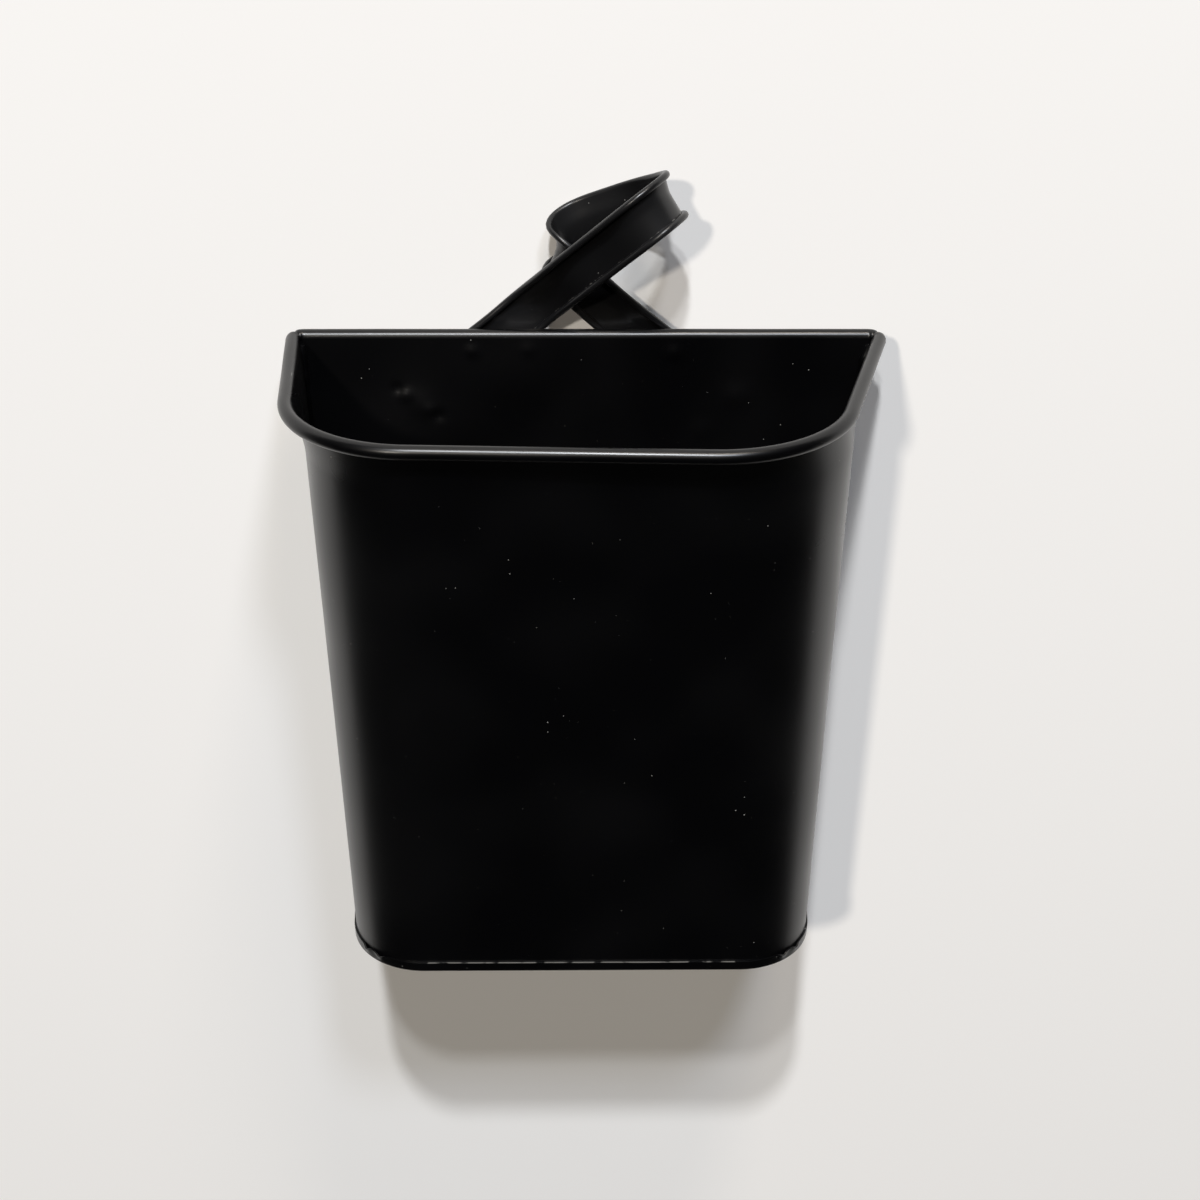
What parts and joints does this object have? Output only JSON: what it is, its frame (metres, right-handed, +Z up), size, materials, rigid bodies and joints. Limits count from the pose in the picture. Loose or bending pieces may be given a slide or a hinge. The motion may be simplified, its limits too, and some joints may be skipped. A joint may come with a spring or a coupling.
{
  "type": "wall bucket",
  "caption": "Tapered half-round wall bucket of painted sheet steel with a flat back, wired rolled rim and a crossed strap loop to hang it by.",
  "frame": {"origin": "on the underside of the base pan, on the front face of the back panel, half way across the base", "axes": "+Z up, -Y towards the front, +X to the right as seen from the front; the wall is on the +Y side"},
  "size_m": [0.2534, 0.1454, 0.3384],
  "materials": {
    "black_paint": "satin black paint on sheet steel",
    "bare_wire": "drawn mild steel wire"
  },
  "bodies": {
    "root": {"front_shell": "black_paint", "back_panel": "black_paint", "base_pan": "black_paint", "front_rim_wire": "bare_wire", "back_rim_wire": "bare_wire", "left_seam_weld": "black_paint", "right_seam_weld": "black_paint", "hanger_strap": "black_paint", "strap_upper_wire": "bare_wire", "strap_lower_wire": "bare_wire", "hanger_foot_welds": "black_paint"}
  },
  "joints": []
}
